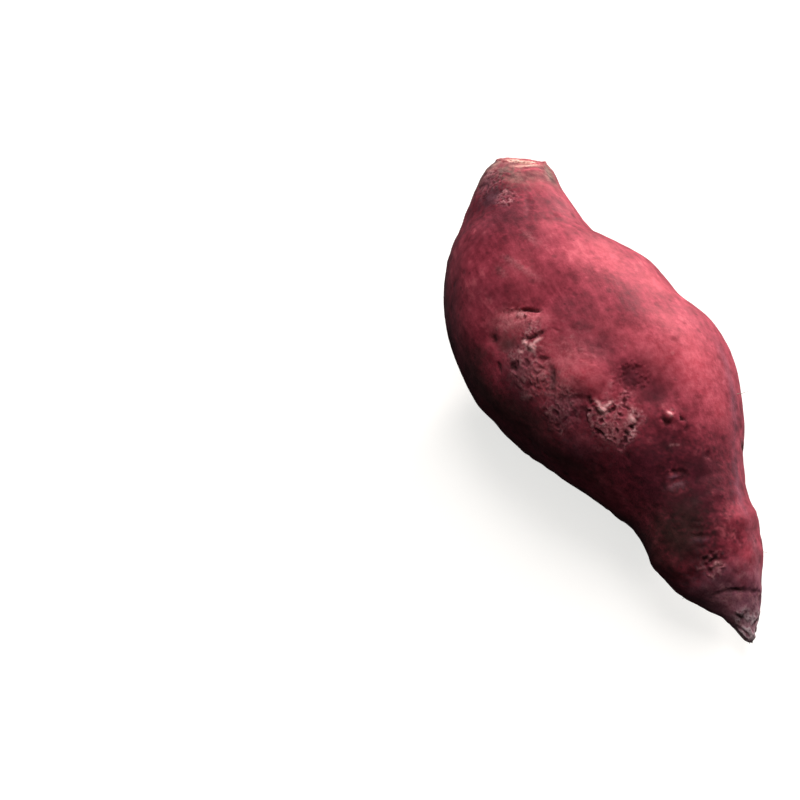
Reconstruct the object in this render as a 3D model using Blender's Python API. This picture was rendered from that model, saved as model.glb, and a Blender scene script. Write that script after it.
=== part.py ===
"""Sweet potato: one storage root, snapped off its vine and lying on its belly.

The root runs along X, from its broken neck at -X to its tail at +X, with +Z up.
The origin is on the small flat spot that it rests on, below its centre of mass.
"""

import math
import random
from typing import NamedTuple

import bmesh
import bpy
import numpy as np
from mathutils import Vector, noise

MM = 0.001

# Driving dimensions, in millimetres
LENGTH = 155.0  # from the scar on the neck to the tip of the tail
BELLY_WIDTH = 64.4
BELLY_HEIGHT = 61.0
BALANCE_POINT = 67.0  # from the scar to the place that the weight is over

# The grid of faces that the skin is made of
FACES_ROUND = 64
FACES_ALONG = 74
FINE_STEPS = 3000  # steps that the smooth curve through the stations is measured in

SKIN_COLOUR = (0.30, 0.045, 0.075, 1.0)
SKIN_ROUGHNESS = 0.45


class Station(NamedTuple):
    """A cross-section of the root, in shares of its driving dimensions."""

    along: float  # of the length, from the scar
    sway: float  # of the belly's width: how far its middle lies to +Y
    rise: float  # of the belly's height: how far its middle lies above the ground
    width: float
    height: float
    lean: float = 0.0  # degrees that its top is turned towards the tail


SCAR = (
    Station(0.004, 0.092, 0.812, 0.0, 0.0, 34.0),  # middle
    Station(0.0, 0.092, 0.817, 0.110, 0.110, 34.0),
    Station(0.0, 0.088, 0.815, 0.205, 0.205, 34.0),  # edge
)
BODY = (
    Station(0.012, 0.061, 0.798, 0.318, 0.325, 30.0),  # neck's rim
    Station(0.050, 0.016, 0.767, 0.408, 0.410, 18.0),  # neck
    Station(0.105, -0.024, 0.718, 0.512, 0.530, 8.0),
    Station(0.170, -0.084, 0.648, 0.705, 0.735),  # shoulder
    Station(0.255, -0.099, 0.566, 0.880, 0.918),
    Station(0.360, -0.050, 0.502, 0.990, 0.997),  # belly
    Station(0.460, 0.012, 0.484, 1.000, 1.000),
    Station(0.565, 0.070, 0.459, 0.910, 0.911),
    Station(0.660, 0.092, 0.418, 0.702, 0.741),
    Station(0.745, 0.094, 0.361, 0.524, 0.544),  # waist before the tail
    Station(0.823, 0.098, 0.289, 0.490, 0.455),
    Station(0.887, 0.116, 0.220, 0.360, 0.321),  # tail
    Station(0.939, 0.122, 0.167, 0.195, 0.184),
    Station(0.977, 0.112, 0.138, 0.075, 0.082),
    Station(0.996, 0.104, 0.128, 0.044, 0.046),  # tip
)
TIP = (Station(1.0, 0.104, 0.126, 0.0, 0.0),)


class Swell(NamedTuple):
    """A rise of the surface, or a hollow where its height is negative."""

    along: float  # share of the length
    clock: float  # degrees round the root: 0 at +Y, 90 on top
    reach: float  # millimetres along the root
    spread: float  # millimetres round it
    height: float  # millimetres


SWELLS = (
    Swell(0.330, 26.0, 13.0, 16.0, 1.3),  # hump on the shoulder
    Swell(0.440, 22.0, 6.0, 14.0, -1.2),  # groove behind it
    Swell(0.535, 22.0, 15.0, 18.0, 2.0),  # hump on the flank
    Swell(0.015, 180.0, 7.0, 8.0, -1.6),  # worn corner of the neck's rim
    Swell(0.165, 50.0, 8.0, 12.0, -1.0),  # dip between neck and shoulder
    Swell(0.220, 14.0, 8.0, 11.0, 1.5),  # start of the shoulder
    Swell(0.430, 103.0, 16.0, 8.0, -1.5),  # shallow valley down the back
    Swell(0.513, 124.0, 12.0, 9.0, 1.0),  # rise below the valley
    Swell(0.581, 100.0, 6.0, 9.0, -1.4),  # hollow above the knob
    Swell(0.645, 98.0, 3.5, 3.5, 1.0),  # the knob
    Swell(0.590, 128.0, 8.0, 8.0, 0.8),  # scabbed rise
    Swell(0.280, 232.0, 20.0, 13.0, 1.6),  # hump under the near flank
    Swell(0.560, 318.0, 18.0, 15.0, 1.8),  # hump under the far flank
    Swell(0.440, 345.0, 12.0, 9.0, -1.5),  # hollow above it
    Swell(0.490, 200.0, 15.0, 12.0, -1.6),  # flatness of the near flank
    Swell(0.640, 197.0, 9.0, 12.0, 0.7),  # fullness before the waist
    Swell(0.230, 300.0, 15.0, 12.0, 1.4),  # fullness under the shoulder
    Swell(0.700, 262.0, 14.0, 10.0, -1.3),  # hollow under the waist
)


class Eye(NamedTuple):
    """A sunken crosswise scar of a side root, with a raised lip on its tail side."""

    along: float  # share of the length
    clock: float  # degrees round the root
    width: float  # millimetres across
    depth: float  # millimetres


LARGE_EYES = (
    Eye(0.339, 124.0, 20.0, 2.0),
    Eye(0.735, 113.0, 7.0, 0.8),
    Eye(0.862, 113.0, 7.0, 0.8),
)
PIT_REACH = 0.22  # of an eye's width
LIP_AT = 0.34
LIP_REACH = 0.26
LIP_HEIGHT = 0.55  # of its depth

# Eyes on the sides that have no large one, in rows along the root
EYE_ROWS = (8.0, 218.0, 250.0, 296.0, 332.0)  # clocks
EYES_IN_ROW = 4
EYE_STEP = 0.19  # of the length
FIRST_EYE = 0.15
EYE_SCATTER = 0.05
CLOCK_SCATTER = 7.0
EYE_WIDTHS = (8.0, 12.0)
EYE_DEPTHS = (0.7, 1.2)
SEED = 7

# Uneven creases round the tail
CREASE_STEP = 8.5
CREASE_HEIGHT = 0.22
CREASE_SLANT = 1.6  # how far a crease runs out of step from one side to the other
CREASES_FROM = 0.70  # share of the length

# Lengthwise ridges of the neck
NECK_RIDGES = 7
NECK_RIDGE_HEIGHT = 0.45
NECK_RIDGES_TO = 0.20  # share of the length

# Lumps all over
LUMP_SIZE = 17.0
LUMP_HEIGHT = 1.3

FULL_RELIEF_GIRTH = 8.0  # half width below which the relief fades towards either end


def rows_in_mm(stations):
    """Each station's middle x, y and z, half width, half height and lean, as a row."""
    rows = []
    for station in stations:
        rows.append(
            (
                station.along * LENGTH - BALANCE_POINT,
                station.sway * BELLY_WIDTH,
                station.rise * BELLY_HEIGHT,
                station.width * BELLY_WIDTH / 2,
                station.height * BELLY_HEIGHT / 2,
                station.lean,
            )
        )
    return np.array(rows)


def smooth_through(knots, values, at):
    """Values on a smooth curve through the given ones, read at the places given."""
    slopes = np.gradient(values, knots, axis=0)
    left = np.clip(np.searchsorted(knots, at, side="right") - 1, 0, len(knots) - 2)
    gap = (knots[left + 1] - knots[left])[:, None]
    u = (at - knots[left])[:, None] / gap
    return (
        (2 * u**3 - 3 * u**2 + 1) * values[left]
        + (u**3 - 2 * u**2 + u) * gap * slopes[left]
        + (3 * u**2 - 2 * u**3) * values[left + 1]
        + (u**3 - u**2) * gap * slopes[left + 1]
    )


def lengths_along(rows):
    """How far each row is from the first along the skin, by its middle and its half width."""
    skin = rows[:, :4]
    steps = np.linalg.norm(np.diff(skin, axis=0), axis=1)
    return np.concatenate([[0.0], np.cumsum(steps)])


def even_sections(count):
    """The stations' smooth curve, cut into sections that are evenly spaced along the skin."""
    stations = rows_in_mm(SCAR + BODY + TIP)
    knots = lengths_along(stations)
    fine = smooth_through(knots, stations, np.linspace(0, knots[-1], FINE_STEPS))
    run = lengths_along(fine)
    even = np.linspace(0, run[-1], count)
    return np.column_stack([np.interp(even, run, column) for column in fine.T])


def unit(vectors):
    """Each vector at length 1."""
    return vectors / np.linalg.norm(vectors, axis=-1, keepdims=True)


def section_directions(sections):
    """Sideways and upward directions of each section, square to the body's middle line."""
    middle = rows_in_mm(BODY)[:, :3]
    heading = np.gradient(middle, axis=0)
    at = sections[:, 0]
    forward = unit(
        np.column_stack([np.interp(at, middle[:, 0], part) for part in heading.T])
    )
    sideways = unit(np.cross([0.0, 0.0, 1.0], forward))
    upward = np.cross(forward, sideways)
    lean = np.radians(sections[:, -1])[:, None]
    return sideways, upward * np.cos(lean) + forward * np.sin(lean)


def eye_swells(eye):
    """The pit of an eye and its lip."""
    lip_along = eye.along + LIP_AT * eye.width / LENGTH
    return (
        Swell(eye.along, eye.clock, PIT_REACH * eye.width, eye.width / 2, -eye.depth),
        Swell(
            lip_along,
            eye.clock,
            LIP_REACH * eye.width,
            eye.width / 2,
            LIP_HEIGHT * eye.depth,
        ),
    )


def row_eyes():
    """The eyes in rows, a little off their even places."""
    chance = random.Random(SEED)
    eyes = []
    for clock in EYE_ROWS:
        for place in range(EYES_IN_ROW):
            along = FIRST_EYE + EYE_STEP * place
            eyes.append(
                Eye(
                    along + chance.uniform(-EYE_SCATTER, EYE_SCATTER),
                    clock + chance.uniform(-CLOCK_SCATTER, CLOCK_SCATTER),
                    chance.uniform(*EYE_WIDTHS),
                    chance.uniform(*EYE_DEPTHS),
                )
            )
    return eyes


def all_swells():
    """Every rise and hollow of the skin, eyes included."""
    swells = list(SWELLS)
    for eye in (*LARGE_EYES, *row_eyes()):
        swells.extend(eye_swells(eye))
    return swells


def creases(x, clock):
    """How far the creases round the tail lift the skin."""
    start = CREASES_FROM * LENGTH - BALANCE_POINT
    end = LENGTH - BALANCE_POINT
    if not start < x < end:
        return 0.0
    fade = math.sin(math.pi * (x - start) / (end - start))
    step = math.tau * (x - start) / CREASE_STEP + CREASE_SLANT * math.sin(2 * clock)
    return CREASE_HEIGHT * fade * math.sin(step)


def neck_ridges(x, clock):
    """How far the ridges along the neck lift the skin."""
    along = (x + BALANCE_POINT) / LENGTH
    fade = max(0.0, min(1.0, 1 - along / NECK_RIDGES_TO))
    return NECK_RIDGE_HEIGHT * fade * math.cos(NECK_RIDGES * clock)


def lumps(x, clock, girth):
    """How far the lumps all over lift the skin."""
    place = Vector((x, girth * math.cos(clock), girth * math.sin(clock)))
    return LUMP_HEIGHT * noise.noise(place / LUMP_SIZE)


def relief(swells, x, clock, girth):
    """How far the skin stands out from the smooth root there, in millimetres."""
    lift = creases(x, clock) + neck_ridges(x, clock) + lumps(x, clock, girth)
    for swell in swells:
        aside = math.remainder(clock - math.radians(swell.clock), math.tau) * girth
        ahead = x - (swell.along * LENGTH - BALANCE_POINT)
        away = (ahead / swell.reach) ** 2 + (aside / swell.spread) ** 2
        lift += swell.height * math.exp(-away)
    return lift


def skin_point(swells, section, sideways, upward, clock):
    """A point of the skin on a section, in millimetres, kept above the ground."""
    x, y, z, half_width, half_height, _ = section
    out = (
        half_width * math.cos(clock) * sideways
        + half_height * math.sin(clock) * upward
    )
    girth = (half_width + half_height) / 2
    out *= 1 + relief(swells, x, clock, girth) / max(girth, FULL_RELIEF_GIRTH)
    point = np.array([x, y, z]) + out
    point[2] = max(point[2], 0.0)
    return point


def shape_root(sphere):
    """Moves a unit sphere's vertices onto the root, the -Z pole to its neck."""
    sections = even_sections(FACES_ALONG + 1)
    sideways, upward = section_directions(sections)
    swells = all_swells()
    for vertex in sphere.verts:
        height = max(-1.0, min(1.0, -vertex.co.z))
        ring = round(math.acos(height) / math.pi * FACES_ALONG)
        clock = math.atan2(vertex.co.y, vertex.co.x)
        point = skin_point(swells, sections[ring], sideways[ring], upward[ring], clock)
        vertex.co = point * MM


def skin_material():
    """Red-purple skin, slightly glossy."""
    material = bpy.data.materials.new("skin")
    material.use_nodes = True
    shader = material.node_tree.nodes["Principled BSDF"]
    shader.inputs["Base Color"].default_value = SKIN_COLOUR
    shader.inputs["Roughness"].default_value = SKIN_ROUGHNESS
    shader.inputs["Metallic"].default_value = 0.0
    return material


def add_root(collection):
    """The root as one closed solid."""
    sphere = bmesh.new()
    bmesh.ops.create_uvsphere(
        sphere, u_segments=FACES_ROUND, v_segments=FACES_ALONG, radius=1.0
    )
    shape_root(sphere)
    mesh = bpy.data.meshes.new("sweet_potato")
    sphere.to_mesh(mesh)
    sphere.free()
    mesh.materials.append(skin_material())
    mesh.shade_smooth()
    root = bpy.data.objects.new("sweet_potato", mesh)
    collection.objects.link(root)
    return root


def main():
    """Clears the scene and builds the root."""
    for old in list(bpy.data.objects):
        bpy.data.objects.remove(old)
    collection = bpy.data.collections.new("sweet_potato")
    bpy.context.scene.collection.children.link(collection)
    add_root(collection)


main()
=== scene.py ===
"""The looks of a sweet potato: its skin, eyes, scabs, snapped neck, frayed tail and rootlets."""

import logging
import math
import random
from dataclasses import dataclass, field
from enum import Enum
from typing import Any

import bmesh
import bpy
import numpy as np
from bpy.types import Material, Mesh, Node, NodeSocket, NodeTree, Object
from mathutils import Matrix, Vector, noise
from mathutils.bvhtree import BVHTree
from numpy.typing import NDArray


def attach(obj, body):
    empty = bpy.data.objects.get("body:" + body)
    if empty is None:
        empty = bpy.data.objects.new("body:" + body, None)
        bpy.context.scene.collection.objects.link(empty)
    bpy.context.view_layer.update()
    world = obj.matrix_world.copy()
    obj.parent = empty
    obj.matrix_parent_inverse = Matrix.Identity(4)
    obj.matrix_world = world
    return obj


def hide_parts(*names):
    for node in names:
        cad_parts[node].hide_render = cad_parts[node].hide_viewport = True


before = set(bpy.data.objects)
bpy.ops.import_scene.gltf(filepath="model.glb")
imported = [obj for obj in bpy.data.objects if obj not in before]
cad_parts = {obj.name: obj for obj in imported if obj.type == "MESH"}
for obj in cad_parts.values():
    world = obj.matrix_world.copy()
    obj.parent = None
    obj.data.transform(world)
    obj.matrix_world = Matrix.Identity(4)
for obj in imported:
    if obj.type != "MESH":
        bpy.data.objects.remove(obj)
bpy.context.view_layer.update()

Floats = NDArray[np.float64]
BMesh = bmesh.types.BMesh
Pixel = tuple[float, float]
Range = tuple[float, float]
Triple = tuple[float, float, float]

MM = 0.001
BODY = "root"
NODE = "sweet_potato"
PHOTO_PIXELS = 800
RAGGED = 0.6  # share by which a mark's edge wanders
RAGGED_SIZE = 0.9  # millimetres from one bend of the edge to the next
TINY = 1e-9  # a length that is as good as none
ALONG = Vector((1.0, 0.0, 0.0))  # along the root, towards its tail
ALL = slice(None)  # every point of the skin

log = logging.getLogger("sweet_potato")


class Mark(Enum):
    """What can mark the skin. Each is an attribute of its mesh, from 0 to 1."""

    EARTH = "earth"  # soil left in a pit or a crack, and painted shade that darkens it
    SCAB = "scab"  # rough healed skin
    CHIP = "chip"  # a peeled flake that shows pale, painted near white as a glint
    CORK = "cork"  # grey-brown cork at the neck
    FLESH = "flesh"  # bare flesh where the neck snapped
    FLUSH = "flush"  # pinker, thinner skin, and painted light where the light falls
    DUSK = "dusk"  # darker, purpler skin, and painted shade where the skin turns from the light
    RUB = "rub"  # skin rubbed pale on what stands out, and painted light in places
    STAIN = "stain"  # skin dyed brown by the soil, and painted shade on the near flank
    ASH = "ash"  # dry grey-mauve skin, and a painted sheen along the far rim
    HUSK = "husk"  # frayed, fibrous skin at the tail's tip


class Pattern(Enum):
    """The patterns that a colour can follow."""

    BLOTCH = "blotch"
    MOTTLE = "mottle"
    GRAIN = "grain"


def linear(hex_colour: str) -> tuple[float, float, float, float]:
    """Turns an sRGB colour to Blender's linear one.

    Args:
        hex_colour: six hex digits after a hash.

    Returns:
        Red, green, blue and a full alpha.
    """
    parts = [int(hex_colour[i : i + 2], 16) / 255 for i in (1, 3, 5)]
    low, high = 12.92, 1.055
    values = [p / low if p <= 0.04045 else ((p + 0.055) / high) ** 2.4 for p in parts]
    return (values[0], values[1], values[2], 1.0)


def add_node(
    tree: NodeTree,
    kind: str,
    settings: dict[str, Any] | None = None,
    links: dict[Any, Any] | None = None,
) -> Node:
    """Adds a node to a tree.

    Args:
        tree: the node tree that it goes in.
        kind: its Blender type, without the ShaderNode that each begins with.
        settings: its properties, by name.
        links: its inputs, by name or number: a socket is linked, and a value is set.

    Returns:
        The new node.
    """
    node = tree.nodes.new("ShaderNode" + kind)
    for name, value in (settings or {}).items():
        setattr(node, name, value)
    for name, value in (links or {}).items():
        if isinstance(value, NodeSocket):
            tree.links.new(value, node.inputs[name])
        else:
            node.inputs[name].default_value = value
    return node


def new_object(name: str, data: Any) -> Object:
    """Adds an object to the scene.

    Args:
        name: its name.
        data: its mesh, lamp or camera.

    Returns:
        The object.
    """
    item = bpy.data.objects.new(name, data)
    bpy.context.scene.collection.objects.link(item)
    return item


def shaped_object(name: str, shape: BMesh) -> Object:
    """Adds an object with a finished form.

    Args:
        name: its name.
        shape: its form, which is freed.

    Returns:
        The object.
    """
    mesh = bpy.data.meshes.new(name)
    shape.to_mesh(mesh)
    shape.free()
    return new_object(name, mesh)


def face_root(item: Object, place: Vector, back: Vector) -> None:
    """Places a camera or lamp and turns it to look against a direction.

    Args:
        item: the camera or lamp.
        place: where it stands, in metres.
        back: the direction that it looks against.
    """
    item.location = place
    item.rotation_mode = "QUATERNION"
    item.rotation_quaternion = (-back).to_track_quat("-Z", "Y")


def soft_step(low: float, high: float, values: Floats) -> Floats:
    """Goes smoothly from 0 at low to 1 at high."""
    t = np.clip((values - low) / (high - low), 0.0, 1.0)
    return t * t * (3 - 2 * t)


def grain_at(points: Floats, size: float, shift: float = 0.0) -> Floats:
    """Smooth noise at each point.

    Args:
        points: places in millimetres.
        size: the width of its lumps in millimetres.
        shift: moves the pattern, so that two of one size differ.

    Returns:
        Values from about -1 to 1.
    """
    return np.array([noise.noise(Vector(p)) for p in points / size + shift])


def smooth(shape: BMesh, verts: Any, times: int) -> None:
    """Evens out the points of a mesh.

    Args:
        shape: the mesh.
        verts: its points that are moved.
        times: how often.
    """
    for _ in range(times):
        bmesh.ops.smooth_vert(
            shape,
            verts=verts,
            factor=0.5,
            use_axis_x=True,
            use_axis_y=True,
            use_axis_z=True,
        )


@dataclass
class PhotoCamera:
    """The camera at the photograph's viewing angle."""

    azimuth: float = 68.0  # degrees
    elevation: float = 50.0
    distance: float = 628.0  # millimetres
    lens: float = 100.0
    sensor: float = 36.0
    top_pixel: Pixel = (600.0, 372.0)  # where the photograph shows the point below
    top_point: Triple = (4.5, -0.9, 33.0)  # millimetres
    back: Vector = field(init=False)
    right: Vector = field(init=False)
    up: Vector = field(init=False)
    eye: Vector = field(init=False)

    def __post_init__(self) -> None:
        """Works out where it stands, in metres, and which way it looks."""
        a, e = math.radians(self.azimuth), math.radians(self.elevation)
        self.back = Vector((math.sin(a) * math.cos(e), -math.cos(a) * math.cos(e), math.sin(e)))
        self.right = Vector((math.cos(a), math.sin(a), 0.0))
        self.up = self.back.cross(self.right)
        aside, above = self.slopes(self.top_pixel)
        to_right = self.right * aside * self.distance
        upward = self.up * above * self.distance
        middle = Vector(self.top_point) - to_right - upward
        self.eye = (middle + self.back * self.distance) * MM

    def slopes(self, pixel: Pixel) -> tuple[float, float]:
        """How far a pixel of the photograph lies right of and above its middle, as slopes."""
        focal = PHOTO_PIXELS * self.lens / self.sensor
        middle = PHOTO_PIXELS / 2
        return (pixel[0] - middle) / focal, (middle - pixel[1]) / focal

    def ray(self, pixel: Pixel) -> Vector:
        """The direction in which the camera sees a pixel of the photograph."""
        aside, above = self.slopes(pixel)
        return (self.right * aside + self.up * above - self.back).normalized()

    def towards(self, shares: Triple) -> Vector:
        """The direction made of shares of the camera's right, up and back directions."""
        return self.right * shares[0] + self.up * shares[1] + self.back * shares[2]

    def build(self) -> None:
        """Adds the camera and makes it the scene's own."""
        data = bpy.data.cameras.new("camera")
        data.lens = self.lens
        data.sensor_width = self.sensor
        camera = new_object("camera", data)
        face_root(camera, self.eye, self.back)
        bpy.context.scene.camera = camera


@dataclass(frozen=True)
class FloorFinish:
    """Matt white studio board: even, with no gloss, so that only a faint shadow shows on it."""

    colour: str = "#a8a8a6"
    glow_colour: str = "#f4f4f2"
    roughness: float = 0.9
    glow: float = 0.80

    def material(self) -> Material:
        """Makes the board's material.

        Returns:
            The material.
        """
        material = bpy.data.materials.new("studio_board")
        material.use_nodes = True
        shader = material.node_tree.nodes["Principled BSDF"]
        shader.inputs["Base Color"].default_value = linear(self.colour)
        shader.inputs["Roughness"].default_value = self.roughness
        shader.inputs["Emission Color"].default_value = linear(self.glow_colour)
        shader.inputs["Emission Strength"].default_value = self.glow
        return material


@dataclass(frozen=True)
class Lamp:
    """A square lamp that faces the root."""

    name: str
    towards: Triple  # shares of the camera's right, up and back directions
    size: float  # metres
    watts: float
    colour: str


@dataclass
class Studio:
    """A pale floor and backdrop, a soft light at the upper right and two weaker ones."""

    floor_side: float = 18.0  # metres
    dome_radius: float = 8.0
    dome_cuts: int = 4  # how finely the dome is cut
    reach: float = 1.5  # metres from the root to each lamp
    lamps: tuple[Lamp, ...] = (
        Lamp("key", (0.50, 0.80, -0.24), 0.45, 36.0, "#fff4f0"),
        Lamp("top", (0.05, 0.80, 0.55), 1.0, 19.0, "#fff8f6"),
        Lamp("front", (0.0, 0.25, 0.97), 1.2, 4.5, "#fff2ee"),
    )
    sky_strength: float = 0.15
    finish: FloorFinish = field(default_factory=FloorFinish)

    def board(self, name: str, shape: BMesh, material: Material) -> Object:
        """Makes a board of the studio, which throws no light back on the root.

        Args:
            name: its name.
            shape: its form, which is freed.
            material: its material.

        Returns:
            The board's object.
        """
        board = shaped_object(name, shape)
        board.data.materials.append(material)
        board.visible_diffuse = False
        board.visible_glossy = False
        return board

    def surround(self) -> None:
        """Adds the floor that the root lies on, and a dome round it that only the camera sees."""
        material = self.finish.material()
        flat = bmesh.new()
        bmesh.ops.create_grid(flat, x_segments=1, y_segments=1, size=self.floor_side / 2)
        floor = self.board("floor", flat, material)
        ball = bmesh.new()
        bmesh.ops.create_icosphere(ball, subdivisions=self.dome_cuts, radius=self.dome_radius)
        dome = self.board("backdrop", ball, material)
        dome.visible_shadow = False

    def build(self, camera: PhotoCamera) -> None:
        """Adds the floor, the backdrop, the lamps and an even sky.

        Args:
            camera: gives the directions that the lamps stand in.
        """
        self.surround()
        for lamp in self.lamps:
            data = bpy.data.lights.new(lamp.name, "AREA")
            data.size = lamp.size
            data.energy = lamp.watts
            data.color = linear(lamp.colour)[:3]
            towards = camera.towards(lamp.towards).normalized()
            face_root(new_object(lamp.name, data), towards * self.reach, towards)
        world = bpy.data.worlds.new("sky")
        world.use_nodes = True
        world.node_tree.nodes["Background"].inputs["Strength"].default_value = self.sky_strength
        bpy.context.scene.world = world
        bpy.context.scene.view_settings.view_transform = "Standard"


@dataclass(frozen=True)
class Layer:
    """A colouring laid over the skin where a mark is."""

    mark: Mark
    pattern: Pattern  # what varies its colour
    low: str  # sRGB where the pattern is low
    high: str
    strength: float = 1.0


@dataclass(frozen=True)
class SkinFinish:
    """Thin periderm of a storage root: a dull waxy red-purple with fine mottling, lenticels and rub."""

    blotch_size: float = 14.0  # millimetres
    mottle_size: float = 2.8
    grain_size: float = 0.7
    noise_detail: float = 4.0
    noise_roughness: float = 0.62
    streak_size: float = 1.6
    streak_stretch: float = 0.18  # how much longer than wide, as a scale along the root
    streak_detail: float = 3.0
    mottle_share: float = 0.6  # added to the blotches
    streak_share: float = 0.4  # added to both
    base_range: Range = (0.7, 1.3)  # of that sum, from the deepest to the brightest colour
    deep: str = "#581624"
    middles: tuple[tuple[float, str], ...] = ((0.36, "#842b3a"), (0.7, "#a84051"))
    bright: str = "#cc636f"
    layer_range: Range = (0.35, 0.65)  # of a pattern, from a layer's low to its high colour
    lenticel_step: float = 2.9
    lenticel_radius: float = 0.13  # share of its cell
    lenticel_fade: float = 2.2  # radii at which it has faded away
    lenticel_strength: float = 0.55
    lenticel_sizes: Range = (0.05, 1.6)
    lenticel_small: float = 0.35  # share of them that are hardly seen
    lenticel_bend: float = 1.1  # millimetres by which a pore's outline wanders
    lenticel_detail: float = 2.0
    lenticel_dark: str = "#521420"
    lenticel_pale: str = "#b87478"
    lenticel_pale_from: float = 0.97  # of 1, so that few are pale
    roughness: float = 0.68
    roughness_spread: float = 0.28
    roughness_changes: tuple[tuple[Mark, float], ...] = (
        (Mark.SCAB, 0.10),
        (Mark.CORK, 0.25),
        (Mark.FLESH, 0.25),
        (Mark.EARTH, 0.40),
        (Mark.CHIP, -0.45),
    )
    grain_bump: Range = (0.35, 0.25)  # strength, and height in millimetres
    streak_bump: Range = (0.3, 0.3)
    gloss: float = 0.14
    bloom: float = 0.14  # a faint dusty sheen at the edges
    bloom_colour: str = "#b8a8b4"
    layers: tuple[Layer, ...] = (
        # pinker skin and painted light where the light falls
        Layer(Mark.FLUSH, Pattern.MOTTLE, "#bc4252", "#d86674", 0.85),
        # darker skin and painted shade where the skin turns from the light
        Layer(Mark.DUSK, Pattern.MOTTLE, "#2c0914", "#431020", 0.93),
        # soil-brown skin and painted shade on the near flank
        Layer(Mark.STAIN, Pattern.MOTTLE, "#281e1a", "#3e2f29", 0.9),
        # dry grey-mauve skin and a painted sheen along the far rim
        Layer(Mark.ASH, Pattern.MOTTLE, "#583644", "#84596b", 0.85),
        Layer(Mark.CORK, Pattern.MOTTLE, "#3c2c2e", "#9a8478", 0.9),
        Layer(Mark.SCAB, Pattern.GRAIN, "#88444e", "#d0949a", 0.9),
        # rubbed pale skin and, in places, painted light
        Layer(Mark.RUB, Pattern.GRAIN, "#a8606a", "#d8a0a0", 0.6),
        Layer(Mark.HUSK, Pattern.GRAIN, "#806a72", "#c8b4b8", 0.95),
        Layer(Mark.FLESH, Pattern.GRAIN, "#c48f86", "#e6beb0", 1.0),
        # soil and painted shade in pits, slits and cracks
        Layer(Mark.EARTH, Pattern.GRAIN, "#12080a", "#2c1414", 0.95),
        # pale flakes painted near white as glints
        Layer(Mark.CHIP, Pattern.GRAIN, "#ffaeb2", "#ffcccc", 1.0),
    )

    def material(self) -> Material:
        """Makes the skin's material.

        Returns:
            The material.
        """
        material = bpy.data.materials.new("waxy_periderm")
        material.use_nodes = True
        tree = material.node_tree
        patterns = self.patterns(tree)
        colour = self.base_colour(tree, patterns)
        colour = self.lenticels(tree, colour)
        for layer in self.layers:
            colour = self.lay(tree, layer, patterns[layer.pattern], colour)
        shader = tree.nodes["Principled BSDF"]
        tree.links.new(colour, shader.inputs["Base Color"])
        tree.links.new(self.rough(tree, patterns), shader.inputs["Roughness"])
        tree.links.new(self.bump(tree, patterns), shader.inputs["Normal"])
        shader.inputs["Specular IOR Level"].default_value = self.gloss
        shader.inputs["Sheen Weight"].default_value = self.bloom
        shader.inputs["Sheen Tint"].default_value = linear(self.bloom_colour)
        return material

    def patterns(self, tree: NodeTree) -> dict[Pattern, NodeSocket]:
        """Adds the noises that the colours follow.

        Args:
            tree: the material's node tree.

        Returns:
            Each pattern's socket, from 0 to 1.
        """
        place = add_node(tree, "TexCoord").outputs["Object"]
        sizes = (self.blotch_size, self.mottle_size, self.grain_size)
        found = {}
        for pattern, size in zip(Pattern, sizes):
            values = {"Detail": self.noise_detail, "Roughness": self.noise_roughness}
            links = {"Vector": place, "Scale": 1 / (size * MM)} | values
            found[pattern] = add_node(tree, "TexNoise", links=links).outputs["Fac"]
        return found

    def streaks(self, tree: NodeTree) -> NodeSocket:
        """Adds fine lengthwise streaks.

        Args:
            tree: the material's node tree.

        Returns:
            Their socket, from 0 to 1.
        """
        place = add_node(tree, "TexCoord").outputs["Object"]
        stretch = (self.streak_stretch, 1.0, 1.0)
        long = add_node(tree, "Mapping", links={"Vector": place, "Scale": stretch}).outputs["Vector"]
        scale = 1 / (self.streak_size * MM)
        links = {"Vector": long, "Scale": scale, "Detail": self.streak_detail}
        return add_node(tree, "TexNoise", links=links).outputs["Fac"]

    def base_colour(self, tree: NodeTree, patterns: dict[Pattern, NodeSocket]) -> NodeSocket:
        """Adds the mottled red-purple.

        Args:
            tree: the material's node tree.
            patterns: the noises that it follows.

        Returns:
            The colour's socket.
        """
        value = patterns[Pattern.BLOTCH]
        parts = ((patterns[Pattern.MOTTLE], self.mottle_share), (self.streaks(tree), self.streak_share))
        for part, share in parts:
            inputs = {0: part, 1: share, 2: value}
            value = add_node(tree, "Math", {"operation": "MULTIPLY_ADD"}, inputs).outputs["Value"]
        low, high = self.base_range
        spread = add_node(tree, "MapRange", links={"Value": value, "From Min": low, "From Max": high})
        ramp = add_node(tree, "ValToRGB", links={"Fac": spread.outputs["Result"]})
        stops = ramp.color_ramp.elements
        stops[0].color = linear(self.deep)
        stops[1].color = linear(self.bright)
        for at, colour in self.middles:
            stops.new(at).color = linear(colour)
        return ramp.outputs["Color"]

    def pores(self, tree: NodeTree) -> Node:
        """Adds the cells that the pores sit in, with bent outlines.

        Args:
            tree: the material's node tree.

        Returns:
            The cells' node.
        """
        place = add_node(tree, "TexCoord").outputs["Object"]
        scale = 1 / (self.lenticel_bend * MM)
        links = {"Vector": place, "Scale": scale, "Detail": self.lenticel_detail}
        wander = add_node(tree, "TexNoise", links=links).outputs["Color"]
        inputs = {0: wander, 1: (self.lenticel_bend * MM,) * 3, 2: place}
        bent = add_node(tree, "VectorMath", {"operation": "MULTIPLY_ADD"}, inputs).outputs["Vector"]
        step = self.lenticel_step * MM
        return add_node(tree, "TexVoronoi", links={"Vector": bent, "Scale": 1 / step})

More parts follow.
